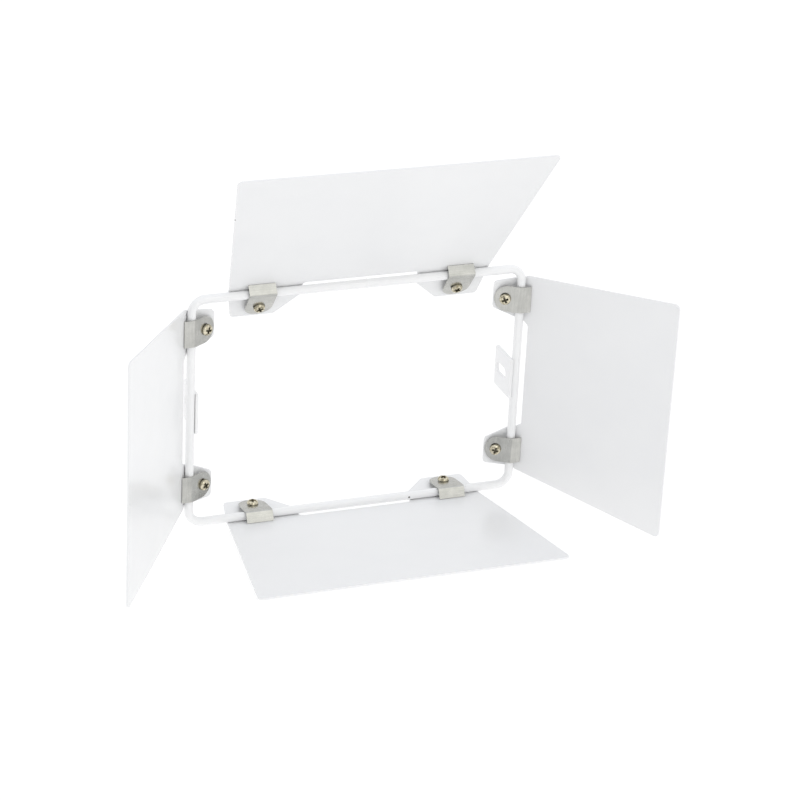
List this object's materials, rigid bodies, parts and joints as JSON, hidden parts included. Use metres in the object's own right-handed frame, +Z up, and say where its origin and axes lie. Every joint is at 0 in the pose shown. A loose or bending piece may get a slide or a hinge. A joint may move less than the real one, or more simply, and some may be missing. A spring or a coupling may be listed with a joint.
{
  "type": "barn door set",
  "caption": "Hinged sheet-metal leaves on a closed round-rod frame with slotted side tabs, for shaping the beam of a small panel light.",
  "frame": {"origin": "midway between the two tab slots, on their common axis", "axes": "+X to the right and +Z up as seen from in front, +Y rearward to the lamp; light leaves towards -Y"},
  "size_m": [0.3178, 0.1271, 0.236],
  "materials": {
    "frame_paint": "white powder coat, semi-gloss",
    "leaf_paint": "white powder coat, semi-gloss",
    "clip_steel": "brushed stainless sheet",
    "screw_plate": "nickel plate, slightly yellow",
    "zinc_plate": "bright zinc plate"
  },
  "bodies": {
    "frame": {"frame_rod": "frame_paint", "frame_seam": "frame_paint", "mounting_tab_left": "frame_paint", "mounting_tab_right": "frame_paint", "tab_weld_left": "frame_paint", "tab_weld_right": "frame_paint"},
    "barn_door_top": {"leaf_top": "leaf_paint", "clip_top_a": "clip_steel", "clip_top_b": "clip_steel", "screws_top": "screw_plate", "washers_top": "zinc_plate", "nuts_top": "zinc_plate"},
    "barn_door_right": {"leaf_right": "leaf_paint", "clip_right_a": "clip_steel", "clip_right_b": "clip_steel", "screws_right": "screw_plate", "washers_right": "zinc_plate", "nuts_right": "zinc_plate"},
    "barn_door_bottom": {"leaf_bottom": "leaf_paint", "clip_bottom_a": "clip_steel", "clip_bottom_b": "clip_steel", "screws_bottom": "screw_plate", "washers_bottom": "zinc_plate", "nuts_bottom": "zinc_plate"},
    "barn_door_left": {"leaf_left": "leaf_paint", "clip_left_a": "clip_steel", "clip_left_b": "clip_steel", "screws_left": "screw_plate", "washers_left": "zinc_plate", "nuts_left": "zinc_plate"}
  },
  "joints": [
    {"name": "top_leaf_hinge", "type": "hinge", "parent": "frame", "child": "barn_door_top", "pos_m": [0, -0.012, 0.0693], "axis": [1, 0, 0], "range_deg": [-64, 146]},
    {"name": "right_leaf_hinge", "type": "hinge", "parent": "frame", "child": "barn_door_right", "pos_m": [0.099, -0.012, 0], "axis": [0, 0, -1], "range_deg": [-87, 33]},
    {"name": "bottom_leaf_hinge", "type": "hinge", "parent": "frame", "child": "barn_door_bottom", "pos_m": [0, -0.012, -0.0693], "axis": [-1, 0, 0], "range_deg": [-124.4, 65.6]},
    {"name": "left_leaf_hinge", "type": "hinge", "parent": "frame", "child": "barn_door_left", "pos_m": [-0.099, -0.012, 0], "axis": [0, 0, 1], "range_deg": [-87, 33]}
  ]
}
